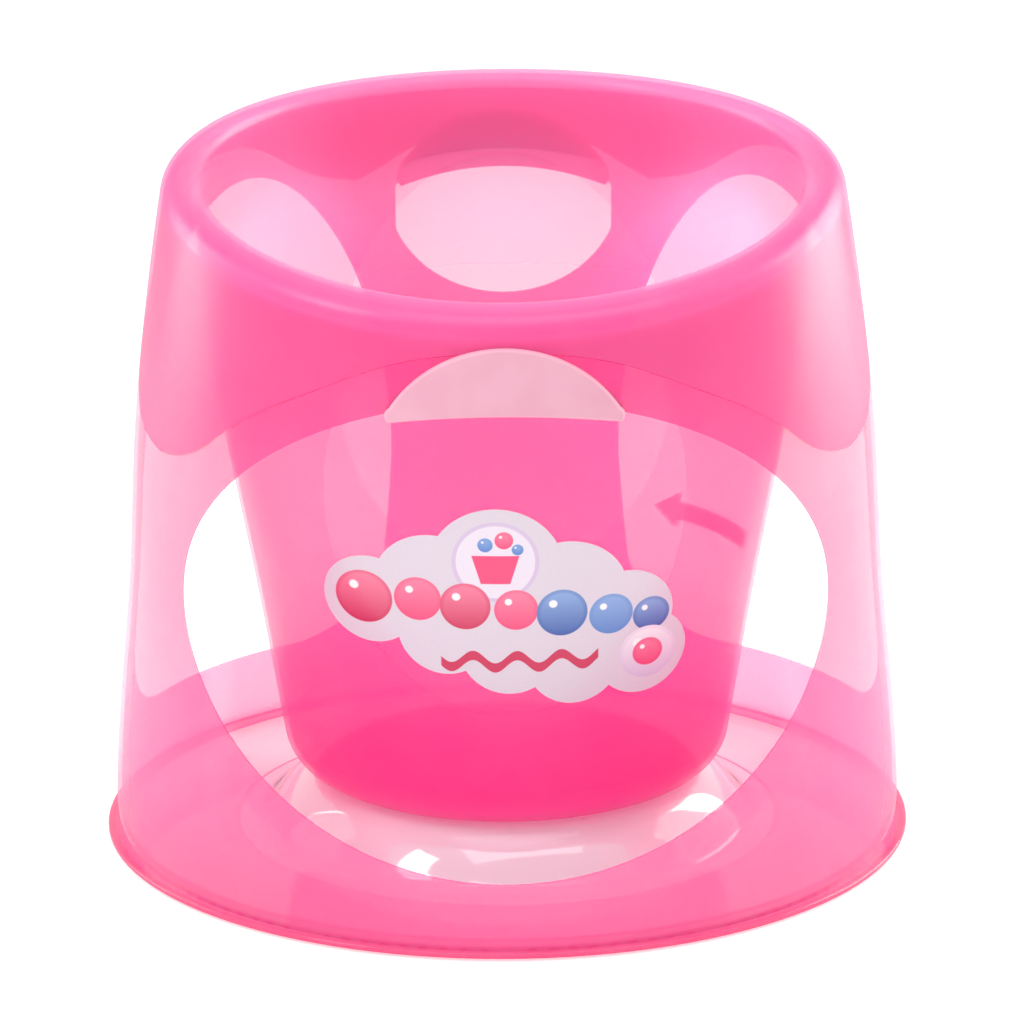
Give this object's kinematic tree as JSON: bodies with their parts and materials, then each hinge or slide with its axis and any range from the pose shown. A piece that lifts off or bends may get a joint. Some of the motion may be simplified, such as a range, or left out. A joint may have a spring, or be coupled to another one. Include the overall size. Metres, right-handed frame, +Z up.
{
  "type": "baby bathtub",
  "caption": "Free-standing baby bathtub: deep round bucket with a tilted rolled rim and scalloped skirt, lifting out of a cone-shaped stand with large openings and soft grips.",
  "frame": {"origin": "centre of the footprint on the floor, under the axis of the bucket", "axes": "+Z up along the bucket's axis, -Y towards the front with the large oval opening and the low side of the rim, +X to the right seen from the front"},
  "size_m": [0.4999, 0.5, 0.438],
  "materials": {
    "tub_plastic": "glossy translucent pink",
    "stand_plastic": "glossy translucent light pink",
    "plate_plastic": "glossy opaque pale pink",
    "grip_rubber": "soft satin pale pink",
    "foot_rubber": "matte",
    "label_film": "satin printed film"
  },
  "bodies": {
    "stand": {"stand": "stand_plastic", "base_plate": "plate_plastic", "front_grip": "grip_rubber", "back_grip": "grip_rubber", "rubber_feet": "foot_rubber"},
    "tub": {"tub": "tub_plastic", "label": "label_film"}
  },
  "joints": [
    {"name": "tub_lift", "type": "slide", "parent": "stand", "child": "tub", "axis": [0, 0, 1], "range_m": [0, 0.42]}
  ]
}
